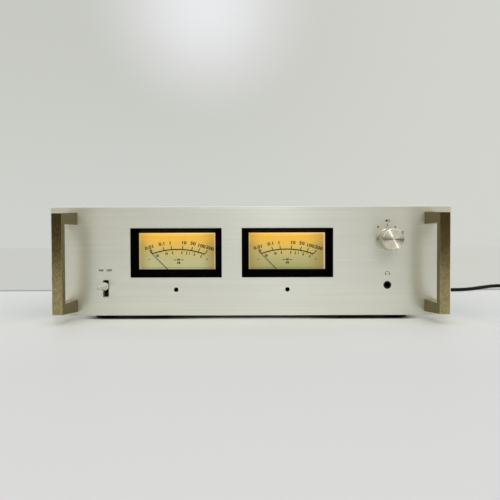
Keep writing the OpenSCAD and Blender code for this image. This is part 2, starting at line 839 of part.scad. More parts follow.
// A driver board with its capacitors and resistors on the side away from the heat sink
module driver_board(s) {
    x0 = s > 0 ? board_x - board_t : -board_x;
    color("#8a6a3a")
        bar(x0, x0 + board_t, board_y[0], board_y[1], floor_z + board_low, floor_z + board_low + board_h);
    face = s * (board_x - board_t);
    part_y = (board_y[1] - board_y[0]) / 6;
    for (i = [0 : 4])
        translate([face, panel_y + board_y[0] + part_y * (i + 1), floor_z + board_low]) {
            color("#26364a")
                translate([0, 0, board_h * 0.7])
                    rotate([0, -90 * s, 0]) cylinder(d = small_can_d, h = small_can_l);
            color("#d9d5c8")
                translate([s > 0 ? -resistor[0] : 0, -resistor[1] / 2, board_h * 0.25]) cube(resistor);
        }
}

module board_standoffs() color("#c0a050")
    for (s = [-1, 1])
        for (d = [board_y[0] + board_edge, board_y[1] - board_edge])
            for (z = [board_low + board_edge, board_low + board_h - board_edge])
                translate([s * board_x, panel_y + d, floor_z + z])
                    rotate([0, 90 * s, 0]) cylinder(d = spacer_d, h = board_gap);

// Mains transformer
core_z = floor_z + core_rise + core_h / 2;

module transformer_core() color("#5b5148")
    translate([0, panel_y + core_y + core_t, core_z])
        rotate([90, 0, 0])
            linear_extrude(core_t)
                difference() {
                    square([core_w, core_h], center = true);
                    for (s = [-1, 1])
                        translate([s * (core_w / 2 - core_yoke + core_leg / 2) / 2, 0])
                            square([(core_w - core_leg) / 2 - core_yoke, core_h - 2 * core_yoke],
                                center = true);
                    for (sx = [-1, 1])
                        for (sz = [-1, 1])
                            translate([sx * (core_w / 2 - core_bolt), sz * (core_h / 2 - core_bolt)])
                                circle(d = m4[0] + 2 * fit_gap);
                }

module transformer_winding() color("#b5651d") {
    wind_w = core_w - 2 * core_yoke - 2;
    wind_h = core_h - 2 * core_yoke - 2;
    wind_l = core_t + 2 * coil_over;
    translate([0, panel_y + core_y + core_t / 2, core_z - wind_h / 2])
        linear_extrude(wind_h)
            difference() {
                union() {
                    square([wind_w, wind_l - 2 * coil_round], center = true);
                    square([wind_w - 2 * coil_round, wind_l], center = true);
                    for (sx = [-1, 1])
                        for (sy = [-1, 1])
                            translate([sx * (wind_w / 2 - coil_round), sy * (wind_l / 2 - coil_round)])
                                circle(r = coil_round);
                }
                square([core_leg + 2 * fit_gap, core_t + 2 * fit_gap], center = true);
            }
}

// Angle brackets along the front and back of the core stand it off the base
module transformer_brackets() color("#b4b4ae")
    for (s = [-1, 1])
        translate([0, panel_y + core_y + core_t / 2 + s * (core_t / 2 + bracket_t / 2), 0])
            difference() {
                union() {
                    translate([-core_w / 2, -bracket_t / 2, floor_z])
                        cube([core_w, bracket_t, core_rise + core_yoke - 2]);
                    translate([-core_w / 2, s > 0 ? -bracket_t / 2 : bracket_t / 2 - bracket_foot, floor_z])
                        cube([core_w, bracket_foot, bracket_t]);
                }
                for (x = [-1, 1])
                    translate([x * (core_w / 2 - core_bolt), 0, core_z - core_h / 2 + core_bolt])
                        rotate([90, 0, 0]) cylinder(d = m4[0] + 2 * fit_gap, h = 8, center = true);
            }

module transformer_bolts() color("silver")
    for (x = [-1, 1])
        for (z = [-1, 1])
            translate([x * (core_w / 2 - core_bolt), panel_y + core_y + core_t + (z < 0 ? bracket_t : 0),
                core_z + z * (core_h / 2 - core_bolt)]) {
                bolt_l = core_t + (z < 0 ? 2 * bracket_t : 0);
                screw(m4, bolt_l + 5);
                translate([0, -bolt_l, 0]) rotate([90, 0, 0]) cylinder(d = m4[1], h = 3.2, $fn = 6);
            }

// Supply
module filter_capacitors() color("#23427a")
    for (s = [-1, 1])
        translate([s * can_x, panel_y + can_y, floor_z]) {
            rotate_extrude()
                polygon([
                    [0, 0], [can_d / 2 - 1.5, 0], [can_d / 2, 1.5], [can_d / 2, can_h - 2],
                    [can_d / 2 - 2, can_h], [can_d / 2 - 4, can_h], [can_d / 2 - 4, can_h - 2], [0, can_h - 2]
                ]);
            for (x = [-1, 1])
                translate([x * can_d / 5, 0, can_h - 2.5]) cylinder(d = 9, h = 6);
        }

module capacitor_clamps() color("silver")
    for (s = [-1, 1])
        translate([s * can_x, panel_y + can_y, floor_z]) {
            difference() {
                union() {
                    cylinder(d = can_d + 2 * clamp_t, h = clamp_h);
                    for (y = [-1, 1])
                        translate([-clamp_ear_w / 2, y * (can_d + clamp_ear) / 2 - clamp_ear / 2, 0])
                            cube([clamp_ear_w, clamp_ear, sheet_t]);
                }
                translate([0, 0, -1]) cylinder(d = can_d + 2 * fit_gap, h = clamp_h + 2);
            }
        }

// A part standing on the supply board, at the middle of its depth
module on_board(x, size)
    translate([x - size[0] / 2, panel_y + (supply_y[0] + supply_y[1] - size[1]) / 2, supply_z + board_t])
        cube(size);

module supply_board() {
    color("#8a6a3a") bar(-supply_w / 2, supply_w / 2, supply_y[0], supply_y[1], supply_z, supply_z + board_t);
    color("#c0a050")
        for (x = [-1, 1])
            for (d = [supply_y[0] + board_edge, supply_y[1] - board_edge])
                translate([x * (supply_w / 2 - board_edge), panel_y + d, floor_z])
                    cylinder(d = spacer_d, h = supply_rise);
    color("#202020") on_board(rectifier_x, rectifier);
    color("#26364a")
        for (i = [0 : 3])
            translate([rectifier_x + rectifier[0] / 2 + (i + 1) * 1.3 * small_can_d,
                panel_y + supply_y[0] + small_can_d, supply_z + board_t])
                cylinder(d = small_can_d, h = small_can_l);
}

module speaker_relay() color("#d8d3c0") on_board(relay_x, relay);

// Rear fittings
module input_jacks() color("#c9c7c0")
    for (z = input_z)
        at(input_x, body_depth, z) {
            translate([0, -sheet_t - 6, 0]) rod(jack_d, sheet_t + 6);
            difference() {
                union() {
                    rotate([-90, 0, 0]) cylinder(d = 13, h = 2, $fn = 6);
                    rod(jack_d, 2 + jack_l);
                }
                translate([0, 4, 0]) ring(jack_d - 1.4, 3.2, jack_l);
            }
        }

strip_w = strip_ways * terminal_pitch + barrier_t;

module speaker_terminals() color("#191919")
    for (x = strip_x)
        at(x, body_depth, strip_z) {
            difference() {
                block(strip_w + 14, strip_t, strip_h);
                for (i = [0 : strip_ways - 1])
                    translate([(i - (strip_ways - 1) / 2) * terminal_pitch, strip_t - 2, 0])
                        block(terminal_pitch - barrier_t, 3, strip_h + 2);
                for (i = [0 : strip_ways - 1])
                    translate([(i - (strip_ways - 1) / 2) * terminal_pitch, 1, 0])
                        rod(m4[0], strip_t);
            }
            for (i = [0 : strip_ways])
                translate([(i - strip_ways / 2) * terminal_pitch, strip_t - 1, 0])
                    block(barrier_t, rear_reach - strip_t + 1, strip_h);
            translate([0, -sheet_t - 8, 0])
                block((strip_ways - 0.5) * terminal_pitch, sheet_t + 8.5, strip_h / 2);
        }

module terminal_screws() color("#b9a268")
    for (x = strip_x)
        for (i = [0 : strip_ways - 1])
            at(x + (i - (strip_ways - 1) / 2) * terminal_pitch, body_depth + strip_t - 2, strip_z) {
                translate([0, 0, -1]) block(terminal_pitch - 7, 1, 0.75 * strip_h);
                translate([0, 1, 0]) screw(m4, strip_t - 3);
            }

// Mains lead: gland, free stretch, coil of the unseen length, tie and plug
module cord_gland() color("#141414") translate([gland_x, rear_y, gland_z]) {
    rib_count = 5;
    rib = (gland_l - 8) / rib_count;
    rotate([-90, 0, 0])
        rotate_extrude()
            polygon(concat(
                [[0, -sheet_t - 3], [gland_d / 2, -sheet_t - 3], [gland_d / 2, 0], [gland_d / 2 + 3, 0],
                    [gland_d / 2 + 3, 3], [gland_d / 2 - 1, 4]],
                [for (i = [0 : rib_count - 1]) each [
                    [gland_d / 2 - 1.2 - 0.4 * i, 5 + rib * i],
                    [gland_d / 2 - 1.2 - 0.4 * i, 5 + rib * (i + 0.6)],
                    [gland_d / 2 - 2 - 0.4 * i, 5 + rib * (i + 0.6)],
                    [gland_d / 2 - 2 - 0.4 * i, 5 + rib * (i + 1)]
                ]],
                [[cord_d / 2 + 0.8, gland_l], [0, gland_l]]
            ));
}

// Coil: spirals in on the lower layer, climbs, and spirals out on the upper one
mouth_y = rear_y + gland_l;
coil_x = gland_x + 415;
coil_ahead = 20;
coil_y = mouth_y - coil_ahead;
coil_outer_r = 42.5;
coil_pitch = cord_d + 0.5;
coil_turns = 6.25;
coil_turn_back = 3.25;
tie_t = 0.6;
coil_low = tie_t + 0.2 + cord_d / 2;
coil_rings = 24;
coil_tail = 40;

// Route of the free stretch from the gland's mouth to the coil: across and back from the mouth,
// and the height above where the middle part lies on the surface
lie = cord_d / 2;
cord_route = [for (p = [
    [0, 0, gland_z], [0, 8, gland_z], [1, 17, gland_z - 1], [6, 26, lie + 23.5], [15, 32, lie + 19.5],
    [27, 34, lie + 15], [41, 31, lie + 10.5], [55, 23, lie + 6.5], [70, 13, lie + 3.5], [87, 3, lie + 1.3],
    [105, -7, lie + 0.2], [125, -19, lie], [145, -32, lie], [165, -43, lie], [185, -49.5, lie],
    [204, -51, lie], [222, -48.5, lie], [238, -43, lie], [253, -33.5, lie], [267, -22.5, lie],
    [281, -10.5, lie], [296, 1.5, lie], [311, 13.5, lie], [326, 22, lie], [341, 25.5, lie],
    [356, 25.3, lie], [371, 24, coil_low - 0.5], [385, 22.9, coil_low - 0.2],
    [398, coil_outer_r - coil_ahead, coil_low], [409, coil_outer_r - coil_ahead, coil_low]
]) [gland_x + p[0], mouth_y + p[1], p[2]]];
cord_start_dir = [0, 1, 0];
cord_end_dir = [1, 0, 0];

function clamp01(v) = max(0, min(1, v));
function coil_radius(t) = coil_outer_r - coil_pitch * (coil_turn_back - abs(t - coil_turn_back));
function coil_height(t) = coil_low + coil_pitch * clamp01((t - coil_turn_back + 0.25) * 2);
function coil_point(t) = [
    coil_x + coil_radius(t) * cos(90 - 360 * t),
    coil_y + coil_radius(t) * sin(90 - 360 * t),
    coil_height(t)
];
coil_end = coil_point(coil_turns);
coil_path = concat(
    [[coil_x - cord_d, coil_y + coil_outer_r, coil_low]],
    [for (i = [0 : coil_rings * coil_turns]) coil_point(i / coil_rings)],
    [[coil_end[0], coil_end[1] - cord_d, coil_end[2]], [coil_end[0], coil_end[1] - coil_tail, coil_end[2]]]
);

// A round tube along a path that never runs straight up: one ring of sides at each point
function unit(v) = v / norm(v);
function heading(path, i, first, last) =
    i == 0 ? first : i == len(path) - 1 ? last : unit(path[i + 1] - path[i - 1]);
function tube_ring(p, dir, r, sides) =
    let (across = unit(cross(dir, [0, 0, 1])), up = cross(across, dir))
    [for (k = [0 : sides - 1]) p + r * (cos(360 * k / sides) * up + sin(360 * k / sides) * across)];

module tube(path, r, sides, first, last) {
    n = len(path);
    points = [for (i = [0 : n - 1]) each tube_ring(path[i], heading(path, i, first, last), r, sides)];
    walls = [for (i = [0 : n - 2], k = [0 : sides - 1])
        let (a = i * sides + k, b = i * sides + (k + 1) % sides)
        each [[a, b, b + sides], [a, b + sides, a + sides]]];
    ends = [for (k = [1 : sides - 2]) each [
        [0, k + 1, k],
        [(n - 1) * sides, (n - 1) * sides + k, (n - 1) * sides + k + 1]
    ]];
    polyhedron(points, concat(walls, ends));
}

// Least room between the coil's turns, measured between points half a turn or more apart
coil_gap = min([for (i = [0 : len(coil_path) - 1], j = [i + 12 : len(coil_path) - 1])
    norm(coil_path[i] - coil_path[j])]) - cord_d;
echo(coil_gap = coil_gap);

module power_cord() color("#0e0e0e") tube(cord_route, cord_d / 2, 10, cord_start_dir, cord_end_dir);
module cord_coil() color("#0e0e0e") tube(coil_path, cord_d / 2, 6, cord_end_dir, [0, -1, 0]);

tie_w = 8;
tie_in = coil_outer_r - coil_pitch * 2.75 - cord_d / 2 - 0.4;
tie_out = coil_outer_r - coil_pitch * 0.75 + cord_d / 2 + 0.4;
tie_top = coil_low + coil_pitch + cord_d / 2 + 0.3;

module cord_tie() color("#202020") translate([coil_x, coil_y, 0]) {
    difference() {
        translate([-tie_out - tie_t, -tie_w / 2, 0])
            cube([tie_out - tie_in + 2 * tie_t, tie_w, tie_top + tie_t]);
        translate([-tie_out, -tie_w / 2 - 1, tie_t])
            cube([tie_out - tie_in, tie_w + 2, tie_top - tie_t]);
    }
    translate([-(tie_in + tie_out) / 2 - 5, -tie_w / 2 - 1, tie_top + tie_t - 0.1]) cube([10, tie_w + 2, 2]);
}

plug_w = 26;
plug_h = 2 * (coil_low + coil_pitch);
plug_l = 22;
plug_neck = 16;
blade = [1.5, 6.3, 17];
blade_x = 6.35;
blade_in = 12;
plug_end = [coil_end[0], coil_end[1] - coil_tail, coil_end[2]];

module mains_plug() color("#121212") translate(plug_end) rotate([90, 0, 0]) {
    rotate_extrude()
        polygon([
            [0, 0], [cord_d / 2 + 1, 0], [plug_h / 2 - 3, plug_neck],
            [plug_h / 2 - 3, plug_neck + 1], [0, plug_neck + 1]
        ]);
    translate([0, 0, plug_neck])
        linear_extrude(plug_l)
            difference() {
                union() {
                    square([plug_w, plug_h - 8], center = true);
                    square([plug_w - 8, plug_h], center = true);
                    for (sx = [-1, 1])
                        for (sy = [-1, 1])
                            translate([sx * (plug_w / 2 - 4), sy * (plug_h / 2 - 4)]) circle(r = 4);
                }
                for (s = [-1, 1])
                    translate([s * blade_x, 0]) square([blade[0], blade[1]], center = true);
            }
}

module plug_blades() color("#c8b878") translate(plug_end) rotate([90, 0, 0])
    for (s = [-1, 1])
        translate([s * blade_x, 0, plug_neck + plug_l + (blade[2] - blade_in) / 2])
            cube([blade[0], blade[1], blade_in + blade[2]], center = true);

front_panel();
handle(-handle_x);  // handle_left
handle(handle_x);  // handle_right
handle_screws();
front_subpanel();
panel_screws();
meter_bezel(meter_left_x);  // meter_bezel_left
meter_bezel(meter_right_x);  // meter_bezel_right
meter_window(meter_left_x);  // meter_window_left
meter_window(meter_right_x);  // meter_window_right
meter_case(meter_left_x);  // meter_case_left
meter_case(meter_right_x);  // meter_case_right
meter_dial(meter_left_x);  // meter_dial_left
meter_dial(meter_right_x);  // meter_dial_right
meter_pointer(meter_left_x);  // meter_pointer_left
meter_pointer(meter_right_x);  // meter_pointer_right
meter_movement(meter_left_x);  // meter_movement_left
meter_movement(meter_right_x);  // meter_movement_right
zero_adjuster(meter_left_x);  // zero_adjuster_left
zero_adjuster(meter_right_x);  // zero_adjuster_right
dial_lamps();
selector_knob();
selector_shaft();
selector_switch();
selector_nut();
power_lever();
power_switch();
phones_socket();
chassis_base();
side_frame(-1);  // side_frame_left
side_frame(1);  // side_frame_right
rear_panel();
top_cover();
case_screws();
feet();
foot_screws();
heat_sink(-1);  // heat_sink_left
heat_sink(1);  // heat_sink_right
output_transistors();
driver_board(-1);  // driver_board_left
driver_board(1);  // driver_board_right
board_standoffs();
transformer_core();
transformer_winding();
transformer_brackets();
transformer_bolts();
filter_capacitors();
capacitor_clamps();
supply_board();
speaker_relay();
input_jacks();
speaker_terminals();
terminal_screws();
cord_gland();
power_cord();
cord_coil();
cord_tie();
mains_plug();
plug_blades();
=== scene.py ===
import math

import bmesh
import bpy
from mathutils import Matrix, Vector


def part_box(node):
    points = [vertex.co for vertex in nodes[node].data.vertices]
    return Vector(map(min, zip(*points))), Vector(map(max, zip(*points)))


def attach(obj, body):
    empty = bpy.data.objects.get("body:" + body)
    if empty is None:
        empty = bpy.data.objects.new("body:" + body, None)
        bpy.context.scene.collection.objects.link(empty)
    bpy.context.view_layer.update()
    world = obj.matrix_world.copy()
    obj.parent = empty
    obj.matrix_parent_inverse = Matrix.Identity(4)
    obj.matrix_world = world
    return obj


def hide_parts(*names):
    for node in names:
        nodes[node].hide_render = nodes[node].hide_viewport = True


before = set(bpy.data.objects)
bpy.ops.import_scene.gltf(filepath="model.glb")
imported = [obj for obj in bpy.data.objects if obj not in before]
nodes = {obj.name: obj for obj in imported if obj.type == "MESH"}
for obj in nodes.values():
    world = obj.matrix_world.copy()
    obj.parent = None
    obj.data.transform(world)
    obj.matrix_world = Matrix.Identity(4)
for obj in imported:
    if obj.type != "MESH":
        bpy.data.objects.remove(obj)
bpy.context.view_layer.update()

MM = 0.001
BODY = "amplifier"
panel_low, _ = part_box("front_panel")
PANEL_Y = panel_low.y
PANEL_Z = panel_low.z

# Places and sizes on the front, in millimetres
METERS = {"left": -90.13, "right": 44.2}
DIAL_DEPTH = 14.0
DIAL_MIDDLE = 77.8
DIAL_HALF_WIDTH = 46.6
DIAL_HALF_HEIGHT = 22.25
DIAL_RIM = 0.6
DIAL_INK_LIFT = 0.06
PANEL_INK_LIFT = 0.04
KNOB = (164.5, 91.3)


def spot(x, depth, height):
    """A point in metres from millimetres: across, behind the panel's front, above its lower edge."""
    return Vector((x * MM, PANEL_Y + depth * MM, PANEL_Z + height * MM))


def added(name, data):
    """An object in the scene."""
    made = bpy.data.objects.new(name, data)
    bpy.context.scene.collection.objects.link(made)
    return made


# Camera
CAMERA_SPOT = (0.8, -564.5, 90)
YAW, PITCH, ROLL = -0.0030, -0.0194, -0.0029


def place_camera():
    ahead = Vector((math.sin(YAW) * math.cos(PITCH), math.cos(YAW) * math.cos(PITCH), math.sin(PITCH)))
    level = Vector((math.cos(YAW), -math.sin(YAW), 0))
    upright = level.cross(ahead)
    right = math.cos(ROLL) * level + math.sin(ROLL) * upright
    up = math.cos(ROLL) * upright - math.sin(ROLL) * level
    data = bpy.data.cameras.new("camera")
    data.sensor_width = 36
    data.lens = 33.75
    data.clip_start = 0.01
    camera = added("camera", data)
    turn = Matrix((right, up, -ahead)).transposed().to_4x4()
    camera.matrix_world = Matrix.Translation(spot(*CAMERA_SPOT)) @ turn
    bpy.context.scene.camera = camera


# Node trees
class Link:
    """A socket on its way through a node tree; sums on it add Math nodes."""

    def __init__(self, tree, socket):
        self.tree, self.socket = tree, socket

    def sum(self, operation, first, second):
        return self.tree.node("ShaderNodeMath", {"operation": operation}, {0: first, 1: second})

    def __add__(self, other):
        return self.sum("ADD", self, other)

    def __sub__(self, other):
        return self.sum("SUBTRACT", self, other)

    def __rsub__(self, other):
        return self.sum("SUBTRACT", other, self)

    def __mul__(self, other):
        return self.sum("MULTIPLY", self, other)

    __radd__ = __add__
    __rmul__ = __mul__


class Tree:
    """A material's or the world's nodes, made one at a time."""

    def __init__(self, owner, output):
        owner.use_nodes = True
        self.tree = owner.node_tree
        self.tree.nodes.clear()
        self.output = self.node(output)

    def feed(self, socket, value):
        if isinstance(value, Link):
            self.tree.links.new(value.socket, socket)
        elif socket.type == "RGBA" and len(value) == 3:
            socket.default_value = (*value, 1)
        else:
            socket.default_value = value

    def node(self, kind, settings=None, sockets=None, out=0):
        made = self.tree.nodes.new(kind)
        for key, value in (settings or {}).items():
            if key == "stops":
                stops = made.color_ramp.elements
                while len(stops) < len(value):
                    stops.new(0.5)
                for stop, (position, colour) in zip(stops, value):
                    stop.position = position
                    stop.color = (*colour, 1)
            else:
                setattr(made, key, value)
        for key, value in (sockets or {}).items():
            self.feed(made.inputs[key], value)
        return Link(self, made.outputs[out]) if made.outputs else made

    def show(self, shader):
        self.feed(self.output.inputs["Surface"], shader)

    def mix(self, share, first, second):
        return self.node("ShaderNodeMix", {"data_type": "RGBA"}, {0: share, 6: first, 7: second}, out=2)

    def vector(self, operation, sockets, out=0):
        return self.node("ShaderNodeVectorMath", {"operation": operation}, sockets, out)

    def axes(self, place):
        parts = self.node("ShaderNodeSeparateXYZ", None, {0: place}).socket.node
        return [Link(self, out) for out in parts.outputs]

    def smooth(self, value, low, high):
        return self.node("ShaderNodeMapRange", {"interpolation_type": "SMOOTHSTEP"},
                         {"Value": value, "From Min": low, "From Max": high})


class Finish(Tree):
    """One material on Object coordinates."""

    def __init__(self, name):
        self.material = bpy.data.materials.new(name)
        super().__init__(self.material, "ShaderNodeOutputMaterial")
        self.place = self.node("ShaderNodeTexCoord", out="Object")

    def stretched(self, x, y, z, centre=(0, 0, 0)):
        """Object coordinates with the given scale along each axis, from a centre in metres."""
        moved = self.vector("SUBTRACT", {0: self.place, 1: centre})
        return self.vector("MULTIPLY", {0: moved, 1: (x, y, z)})

    def noise(self, place, detail=2.0, rough=0.5):
        return self.node("ShaderNodeTexNoise", None,
                         {"Vector": place, "Scale": 1.0, "Detail": detail, "Roughness": rough})

    def even_noise(self, scale, detail=2.0, rough=0.5):
        """Noise with the same scale along each axis."""
        return self.noise(self.stretched(scale, scale, scale), detail, rough)

    def wave(self, axis, scale, distortion):
        return self.node("ShaderNodeTexWave", {"bands_direction": axis},
                         {"Vector": self.place, "Scale": scale, "Distortion": distortion})

    def normal(self):
        return self.node("ShaderNodeNewGeometry", out="Normal")

    def bump(self, height, strength, distance):
        return self.node("ShaderNodeBump", None,
                         {"Strength": strength, "Distance": distance, "Height": height})

    def lean(self, wobble, direction):
        """The surface's normal, leant to and fro along a direction of the piece by wobble."""
        turned = self.node("ShaderNodeVectorTransform", {"convert_from": "OBJECT", "convert_to": "WORLD"},
                           {0: direction})
        push = self.vector("SCALE", {0: turned, "Scale": wobble})
        return self.vector("NORMALIZE", {0: self.vector("ADD", {0: self.normal(), 1: push})})

    def surface(self, sockets):
        self.show(self.node("ShaderNodeBsdfPrincipled", None, sockets))
        return self.material


# Finishes
def brushed_aluminium():
    f = Finish("brushed_aluminium")
    line = f.noise(f.stretched(7, 60, 2600), 3.0, 0.6)
    streak = f.noise(f.stretched(4, 40, 560), 4.0, 0.65)
    cloud = f.noise(f.stretched(9, 9, 14))
    tone = f.smooth(streak * 0.65 + cloud * 0.35, 0.3, 0.7)
    return f.surface({
        "Base Color": f.mix(tone, (0.878, 0.898, 0.812), (0.944, 0.964, 0.878)),
        "Metallic": 0.72,
        "Specular IOR Level": 0.2,
        "Roughness": 0.30 + 0.08 * streak,
        "Anisotropic": 0.8,
        "Anisotropic Rotation": 0.25,
        "Normal": f.lean((line - 0.5) * 0.3, (0, 0, 1)),
    })


def bronze_anodised():
    f = Finish("bronze_anodised")
    grain = f.even_noise(1100, 3.0, 0.7)
    cloud = f.noise(f.stretched(420, 420, 260), 3.0, 0.6)
    tone = f.smooth(grain * 0.3 + cloud * 0.7, 0.35, 0.65)
    across, _, _ = f.axes(f.normal())
    # Painted shade: the handle's sides, facing left and right, are darkened in their colour; they are also
    # made rougher.
    painted_shade_flank = f.smooth(across * across, 0.4, 0.9)
    skin = f.mix(tone, (0.315, 0.255, 0.118), (0.475, 0.405, 0.21))
    return f.surface({
        "Base Color": f.mix(painted_shade_flank * 0.8, skin, (0.155, 0.124, 0.049)),
        "Metallic": 1.0,
        "Roughness": 0.13 + 0.1 * grain + 0.28 * painted_shade_flank,
        "Normal": f.bump(grain, 0.12, 0.0003),
    })


def turned_aluminium():
    """A spun face: fine rings about the knob's axis lean its normals out and in."""
    f = Finish("turned_aluminium")
    centre = spot(KNOB[0], 0, KNOB[1])
    away = f.stretched(1, 0, 1, centre)
    radius = f.vector("LENGTH", {0: away}, out="Value")
    ring = f.node("ShaderNodeTexNoise", {"noise_dimensions": "1D"},
                  {"W": radius * 5200, "Scale": 1.0, "Detail": 2.0})
    groove = f.node("ShaderNodeMath", {"operation": "SINE"}, {0: radius * 24000})
    outward = f.vector("NORMALIZE", {0: away})
    fine = f.noise(f.stretched(300, 2200, 300))
    face = f.mix(f.smooth(ring * 0.6 + fine * 0.4, 0.3, 0.7), (0.69, 0.665, 0.54), (0.795, 0.775, 0.65))
    _, ahead, _ = f.axes(f.normal())
    # Painted shade: the knob's sides, which do not face forward, are darkened in their colour.
    side = f.smooth(ahead * ahead, 0.3, 0.05)
    return f.surface({
        "Base Color": f.mix(side * 0.7, face, (0.34, 0.29, 0.2)),
        "Metallic": 1.0,
        "Roughness": 0.16 + 0.06 * fine,
        "Normal": f.lean(groove * (0.3 + 0.25 * ring), outward),
    })


def moulded_black(name, colour=(0.012, 0.012, 0.013), gloss=0.3):
    f = Finish(name)
    grain = f.even_noise(1400)
    dust = f.even_noise(60, 4.0, 0.65)
    paler = tuple(c * 1.9 for c in colour)
    return f.surface({
        "Base Color": f.mix(f.smooth(dust, 0.45, 0.8) * 0.6, colour, paler),
        "Roughness": 0.42 + 0.2 * grain,
        "Specular IOR Level": gloss,
        "Normal": f.bump(grain, 0.12, 0.0002),
    })


def plated(name, colour, rough, spread=0.12):
    f = Finish(name)
    cloud = f.even_noise(120, 4.0, 0.6)
    fine = f.even_noise(1500)
    paler = tuple(min(1, c * 1.15) for c in colour)
    return f.surface({
        "Base Color": f.mix(f.smooth(cloud, 0.3, 0.7), colour, paler),
        "Metallic": 1.0,
        "Roughness": rough + spread * cloud,
        "Normal": f.bump(fine, 0.06, 0.0002),
    })


def textured_paint():
    f = Finish("textured_paint")
    pimple = f.even_noise(1500, 2.0, 0.55)
    cloud = f.even_noise(12, 3.0)
    return f.surface({
        "Base Color": f.mix(f.smooth(cloud, 0.3, 0.7), (0.028, 0.029, 0.031), (0.04, 0.041, 0.043)),
        "Roughness": 0.5 + 0.2 * pimple,
        "Specular IOR Level": 0.4,
        "Normal": f.bump(pimple, 0.35, 0.0004),
    })


def soft_rubber():
    f = Finish("soft_rubber")
    grain = f.even_noise(700, 3.0)
    dust = f.even_noise(45, 4.0, 0.65)
    return f.surface({
        "Base Color": f.mix(f.smooth(dust, 0.4, 0.8), (0.004, 0.004, 0.004), (0.010, 0.010, 0.009)),
        "Roughness": 0.5 + 0.2 * grain,
        "Specular IOR Level": 0.12,
        "Normal": f.bump(grain, 0.1, 0.0003),
    })


def window_acrylic():
    f = Finish("window_acrylic")
    clear = f.node("ShaderNodeBsdfTransparent")
    gloss = f.node("ShaderNodeBsdfGlossy", None, {"Color": (0.5, 0.5, 0.5), "Roughness": 0.06})
    slant = f.node("ShaderNodeLayerWeight", None, {"Blend": 0.3}, out="Facing")
    f.show(f.node("ShaderNodeMixShader", None, {0: 0.01 + 0.3 * slant, 1: clear, 2: gloss}))
    return f.material


def lit_dial(side, low, middle, inner):
    """Printed card with the light of a lamp above painted into its colour and its emission, so it glows
    though it is no lamp: orange at the top, pale olive at the bottom, painted shade towards the ends and a
    painted cream highlight on the rim, stronger to the right.
    """
    f = Finish("lit_dial_" + side)
    centre = spot(METERS[side], DIAL_DEPTH - DIAL_RIM, DIAL_MIDDLE)
    halves = f.stretched(1 / (DIAL_HALF_WIDTH * MM), 1 / MM, 1 / (DIAL_HALF_HEIGHT * MM), centre)
    across, back, up = f.axes(halves)
    aside = across + 0.05
    edge = aside * aside
    fibre = f.even_noise(500, 3.0)
    # Painted lamp light: orange near the top, fading to pale olive at the bottom.
    glow = f.node("ShaderNodeValToRGB", {"stops": [
        (0.0, low), (0.3, middle), (0.52, (0.5, 0.39, 0.13)),
        (0.72, (0.66, 0.42, 0.08)), (0.88, (0.80, 0.45, 0.065)), (1.0, (0.93, 0.555, 0.115)),
    ]}, {"Fac": up * 0.5 + 0.5 - edge * 0.06 + (fibre - 0.5) * 0.03})
    # Painted shade towards both ends of the card, starting at inner, weaker near the top.
    painted_end_shade = f.smooth(edge, inner, 1.0) * (0.7 - 0.3 * f.smooth(up, 0.2, 0.8))
    glow_and_painted_shade = f.mix(painted_end_shade, glow, (0.28, 0.205, 0.055))
    # Painted highlight: the rim in front of the card is cream, stronger to the right.
    painted_rim_highlight = f.smooth(back, 0.0, -1.0) * (f.smooth(across, -0.5, 0.5) * 0.35 + 0.15)
    painted_lit_card = f.mix(painted_rim_highlight, glow_and_painted_shade, (0.9, 0.82, 0.52))
    return f.surface({
        "Base Color": painted_lit_card,
        "Roughness": 0.6,
        "Specular IOR Level": 0.05,
        # The painted lamp light is also given out as emission.
        "Emission Color": painted_lit_card,
        "Emission Strength": 0.68,
    })


def ink(name, colour):
    f = Finish(name)
    patch = f.even_noise(900)
    paler = tuple(c * 1.4 + 0.01 for c in colour)
    return f.surface({
        "Base Color": f.mix(f.smooth(patch, 0.4, 0.8), colour, paler),
        "Roughness": 0.7,
        "Specular IOR Level": 0.1,
    })


def mottled(name, dark, pale, rough):
    f = Finish(name)
    cloud = f.even_noise(60, 4.0, 0.6)
    fine = f.even_noise(1200)
    return f.surface({
        "Base Color": f.mix(f.smooth(cloud, 0.3, 0.7), dark, pale),
        "Roughness": rough + 0.15 * fine,
        "Specular IOR Level": 0.4,
        "Normal": f.bump(fine, 0.12, 0.0003),
    })


def laminations():
    f = Finish("laminations")
    sheets = f.wave("Y", 300.0, 0.4)
    cloud = f.even_noise(40, 3.0)
    tone = f.smooth(sheets * 0.6 + cloud * 0.4, 0.2, 0.8)
    return f.surface({
        "Base Color": f.mix(tone, (0.05, 0.042, 0.035), (0.13, 0.11, 0.09)),
        "Roughness": 0.45 + 0.2 * cloud,
        "Metallic": 0.6,
        "Normal": f.bump(sheets, 0.3, 0.0003),
    })


def wound_wrap():
    f = Finish("wound_wrap")
    layers = f.wave("Z", 90.0, 1.0)
    cloud = f.even_noise(50, 3.0)
    tone = f.smooth(layers * 0.5 + cloud * 0.5, 0.2, 0.8)
    return f.surface({
        "Base Color": f.mix(tone, (0.45, 0.2, 0.05), (0.62, 0.33, 0.1)),
        "Roughness": 0.35 + 0.2 * cloud,
        "Normal": f.bump(layers, 0.25, 0.0004),
    })


# Pieces
def finished(name, mesh_maker, material):
    """A mesh object from a bmesh, riding on the amplifier."""
    mesh = bpy.data.meshes.new(name)
    mesh_maker.to_mesh(mesh)
    mesh_maker.free()
    mesh.materials.append(material)
    piece = added(name, mesh)
    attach(piece, BODY)


def dress(material, *names):
    for name in names:
        slots = nodes[name].data.materials
        slots.clear()
        slots.append(material)


# Flat drawing on the front
CAPITAL_SHARE = 0.7


def facing_front(place, turn=0.0):
    """Puts a flat drawing, x right and y up in millimetres, on the front at a place in metres."""
    upright = Matrix.Rotation(math.pi / 2, 4, "X")
    turned = Matrix.Rotation(math.radians(-turn), 4, "Y") @ upright
    return Matrix.Translation(place) @ turned @ Matrix.Scale(MM, 4)


